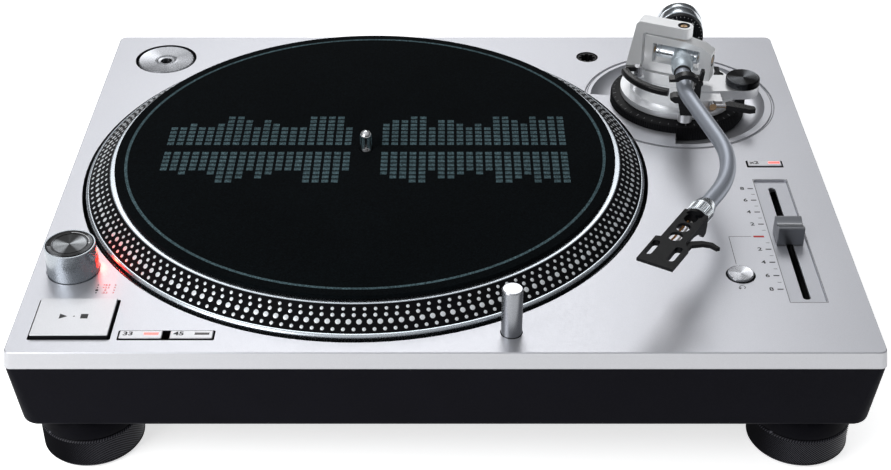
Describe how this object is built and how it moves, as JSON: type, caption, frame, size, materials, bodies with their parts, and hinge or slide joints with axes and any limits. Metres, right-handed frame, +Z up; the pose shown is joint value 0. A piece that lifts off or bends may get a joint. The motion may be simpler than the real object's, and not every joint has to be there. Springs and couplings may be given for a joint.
{
  "type": "turntable record player",
  "caption": "Direct-drive record player: silver deck on a black base, strobe-dot platter with felt mat, S-shaped tonearm in its rest, pitch fader and screw feet.",
  "frame": {"origin": "on the supporting surface under the middle of the chassis", "axes": "+X to the player's right along the long side, +Y to the back, +Z up; the front faces -Y"},
  "size_m": [0.453, 0.353, 0.1343],
  "materials": {
    "silver_panel": "satin bead-blasted anodised",
    "black_base": "fine matte texture",
    "cover_steel": "matte black",
    "screw_steel": "zinc plated",
    "foot_silver": "satin",
    "pad_rubber": "matte",
    "motor_steel": "plated",
    "stator_copper": "enamelled wire",
    "bearing_brass": "machined",
    "board": "solder mask",
    "fader_body": "moulded",
    "inlet_plastic": "moulded",
    "terminal_gold": "gold plated",
    "pod_silver": "satin",
    "window_red": "clear red",
    "socket_black": "moulded",
    "panel_silver": "satin",
    "platter_metal": "turned, black strobe band",
    "mat_felt": "felt, printed",
    "magnet": "ferrite",
    "spindle_steel": "polished",
    "knob_dark": "spun dark anodised",
    "button_silver": "satin",
    "lamp_silver": "satin",
    "slider_chrome": "polished grooved",
    "adapter_metal": "spun",
    "ring_black": "knurled black",
    "arm_casting": "satin",
    "small_steel": "machined",
    "black_plastic": "satin moulded",
    "skate_black": "spun black anodised",
    "arm_metal": "polished",
    "tube_metal": "satin polished",
    "collar_chrome": "polished knurled",
    "shell_black": "satin black",
    "lead_copper": "tinned copper leads",
    "bush_rubber": "damped sleeve",
    "weight_chrome": "polished",
    "dial_black": "satin, printed scale"
  },
  "bodies": {
    "chassis": {"top_panel": "silver_panel", "base_cabinet": "black_base", "bottom_cover": "cover_steel", "cover_screws": "screw_steel", "foot_collars": "foot_silver", "motor_plate": "motor_steel", "stator": "stator_copper", "bearing_housing": "bearing_brass", "circuit_boards": "board", "pitch_fader": "fader_body", "ac_inlet": "inlet_plastic", "terminal_cup": "black_base", "phono_terminals": "terminal_gold", "strobe_housing": "pod_silver", "strobe_window": "window_red", "headshell_socket": "socket_black", "pitch_panel": "panel_silver"},
    "platter_rotor": {"platter": "platter_metal", "platter_damper": "pad_rubber", "slipmat": "mat_felt", "rotor_yoke": "motor_steel", "rotor_magnet": "magnet", "spindle": "spindle_steel"},
    "power_switch": {"power_knob": "knob_dark"},
    "start_stop": {"start_stop_button": "button_silver"},
    "speed_33": {"button_33": "button_silver"},
    "speed_45": {"button_45": "button_silver"},
    "speed_double": {"button_x2": "button_silver"},
    "reset": {"reset_button": "button_silver"},
    "target_lamp": {"target_light": "lamp_silver"},
    "pitch_control": {"pitch_slider": "slider_chrome"},
    "single_adapter": {"adapter_45": "adapter_metal"},
    "height_adjuster": {"height_ring": "ring_black"},
    "arm_mount": {"arm_base": "arm_casting", "bearing_bracket": "arm_casting", "pivot_screws": "small_steel", "arm_rest": "black_plastic"},
    "rest_clip": {"arm_clip": "black_plastic"},
    "anti_skate": {"anti_skate_knob": "skate_black"},
    "cue": {"cue_lever": "black_plastic"},
    "lifter": {"lifter_bar": "black_plastic"},
    "height_clamp": {"height_lock": "black_plastic"},
    "gimbal": {"gimbal_ring": "arm_casting", "tilt_screws": "small_steel"},
    "tonearm": {"arm_housing": "arm_metal", "arm_tube": "tube_metal", "headshell": "shell_black", "headshell_leads": "lead_copper"},
    "lock_collar": {"locking_collar": "collar_chrome"},
    "weight_slide": {"counterweight_bush": "bush_rubber"},
    "weight": {"counterweight": "weight_chrome"},
    "dial": {"force_dial": "dial_black"},
    "pad_front_left": {"foot_pad_front_left": "pad_rubber"},
    "foot_front_left": {"foot_front_left": "foot_silver"},
    "pad_front_right": {"foot_pad_front_right": "pad_rubber"},
    "foot_front_right": {"foot_front_right": "foot_silver"},
    "pad_rear_left": {"foot_pad_rear_left": "pad_rubber"},
    "foot_rear_left": {"foot_rear_left": "foot_silver"},
    "pad_rear_right": {"foot_pad_rear_right": "pad_rubber"},
    "foot_rear_right": {"foot_rear_right": "foot_silver"}
  },
  "joints": [
    {"name": "platter_spin", "type": "hinge", "parent": "chassis", "child": "platter_rotor", "pos_m": [-0.0473, 0.0013, 0.0929], "axis": [0, 0, 1], "continuous": true},
    {"name": "power_turn", "type": "hinge", "parent": "chassis", "child": "power_switch", "pos_m": [-0.2033, -0.1024, 0.098], "axis": [0, 0, 1], "range_deg": [-40, 0]},
    {"name": "start_stop_press", "type": "slide", "parent": "chassis", "child": "start_stop", "axis": [0, 0, -1], "range_m": [0, 0.0015], "stiffness_N_per_m": 400},
    {"name": "speed_33_press", "type": "slide", "parent": "chassis", "child": "speed_33", "axis": [0, 0, -1], "range_m": [0, 0.0006], "stiffness_N_per_m": 400},
    {"name": "speed_45_press", "type": "slide", "parent": "chassis", "child": "speed_45", "axis": [0, 0, -1], "range_m": [0, 0.0006], "stiffness_N_per_m": 400},
    {"name": "double_press", "type": "slide", "parent": "chassis", "child": "speed_double", "axis": [0, 0, -1], "range_m": [0, 0.0006], "stiffness_N_per_m": 400},
    {"name": "reset_press", "type": "slide", "parent": "chassis", "child": "reset", "axis": [0, 0, -1], "range_m": [0, 0.0012], "stiffness_N_per_m": 400},
    {"name": "target_lamp_push", "type": "slide", "parent": "chassis", "child": "target_lamp", "axis": [0, 0, -1], "range_m": [0, 0.027]},
    {"name": "pitch_slide", "type": "slide", "parent": "chassis", "child": "pitch_control", "axis": [0, 1, 0], "range_m": [-0.049, 0.044]},
    {"name": "adapter_lift", "type": "slide", "parent": "chassis", "child": "single_adapter", "axis": [0, 0, 1], "range_m": [0, 0.03]},
    {"name": "arm_height", "type": "slide", "parent": "chassis", "child": "arm_mount", "axis": [0, 0, 1], "range_m": [0, 0.006]},
    {"name": "height_ring_turn", "type": "hinge", "parent": "chassis", "child": "height_adjuster", "pos_m": [0.1498, 0.0865, 0.08], "axis": [0, 0, 1], "range_deg": [0, 271]},
    {"name": "height_clamp_turn", "type": "hinge", "parent": "arm_mount", "child": "height_clamp", "pos_m": [0.1768, 0.0961, 0.093], "axis": [0, 0, 1], "range_deg": [-60, 0]},
    {"name": "arm_swing", "type": "hinge", "parent": "arm_mount", "child": "gimbal", "pos_m": [0.1498, 0.0865, 0.114], "axis": [0, 0, -1], "range_deg": [0, 45]},
    {"name": "arm_tilt", "type": "hinge", "parent": "gimbal", "child": "tonearm", "pos_m": [0.1498, 0.0865, 0.114], "axis": [-0.9135, 0.4067, 0], "range_deg": [0, 6]},
    {"name": "clip_turn", "type": "hinge", "parent": "arm_mount", "child": "rest_clip", "pos_m": [0.15492, 0.04289, 0.1194], "axis": [0.0872, 0.9962, 0], "range_deg": [0, 100]},
    {"name": "cue_turn", "type": "hinge", "parent": "arm_mount", "child": "cue", "pos_m": [0.1673, 0.0585, 0.094], "axis": [0, -1, 0], "range_deg": [0, 60]},
    {"name": "lifter_raise", "type": "slide", "parent": "arm_mount", "child": "lifter", "axis": [0, 0, 1], "range_m": [0, 0.005]},
    {"name": "anti_skate_turn", "type": "hinge", "parent": "arm_mount", "child": "anti_skate", "pos_m": [0.1895, 0.0804, 0.098], "axis": [0, 0, 1], "range_deg": [0, 270]},
    {"name": "collar_turn", "type": "hinge", "parent": "tonearm", "child": "lock_collar", "pos_m": [0.13767, -0.09571, 0.114], "axis": [-0.5195, -0.8545, 0], "range_deg": [0, 60]},
    {"name": "weight_shift", "type": "slide", "parent": "tonearm", "child": "weight_slide", "axis": [0.0872, 0.9962, 0], "range_m": [-0.002, 0.006]},
    {"name": "weight_turn", "type": "hinge", "parent": "weight_slide", "child": "weight", "pos_m": [0.15285, 0.12137, 0.114], "axis": [-0.0872, -0.9962, 0], "range_deg": [-247, 728]},
    {"name": "dial_turn", "type": "hinge", "parent": "weight_slide", "child": "dial", "pos_m": [0.15215, 0.1134, 0.114], "axis": [-0.0872, -0.9962, 0], "continuous": true},
    {"name": "foot_travel_front_left", "type": "slide", "parent": "chassis", "child": "pad_front_left", "axis": [0, 0, -1], "range_m": [0, 0.0061]},
    {"name": "foot_turn_front_left", "type": "hinge", "parent": "pad_front_left", "child": "foot_front_left", "pos_m": [-0.1933, -0.146, 0.01], "axis": [0, 0, 1], "range_deg": [0, 1440]},
    {"name": "foot_travel_front_right", "type": "slide", "parent": "chassis", "child": "pad_front_right", "axis": [0, 0, -1], "range_m": [0, 0.0061]},
    {"name": "foot_turn_front_right", "type": "hinge", "parent": "pad_front_right", "child": "foot_front_right", "pos_m": [0.1933, -0.146, 0.01], "axis": [0, 0, 1], "range_deg": [0, 1440]},
    {"name": "foot_travel_rear_left", "type": "slide", "parent": "chassis", "child": "pad_rear_left", "axis": [0, 0, -1], "range_m": [0, 0.0061]},
    {"name": "foot_turn_rear_left", "type": "hinge", "parent": "pad_rear_left", "child": "foot_rear_left", "pos_m": [-0.1933, 0.146, 0.01], "axis": [0, 0, 1], "range_deg": [0, 1440]},
    {"name": "foot_travel_rear_right", "type": "slide", "parent": "chassis", "child": "pad_rear_right", "axis": [0, 0, -1], "range_m": [0, 0.0061]},
    {"name": "foot_turn_rear_right", "type": "hinge", "parent": "pad_rear_right", "child": "foot_rear_right", "pos_m": [0.1933, 0.146, 0.01], "axis": [0, 0, 1], "range_deg": [0, 1440]}
  ],
  "couplings": [
    {"joint": "height_ring_turn", "follows": "arm_height", "rad_per_m": 785},
    {"joint": "clip_turn", "follows": "arm_tilt", "ratio": 16.5},
    {"joint": "lifter_raise", "follows": "cue_turn", "m_per_rad": 0.004679},
    {"joint": "weight_turn", "follows": "weight_shift", "rad_per_m": 2094.4},
    {"joint": "foot_travel_front_left", "follows": "foot_turn_front_left", "m_per_rad": 0.00023873},
    {"joint": "foot_travel_front_right", "follows": "foot_turn_front_right", "m_per_rad": 0.00023873},
    {"joint": "foot_travel_rear_left", "follows": "foot_turn_rear_left", "m_per_rad": 0.00023873},
    {"joint": "foot_travel_rear_right", "follows": "foot_turn_rear_right", "m_per_rad": 0.00023873}
  ]
}
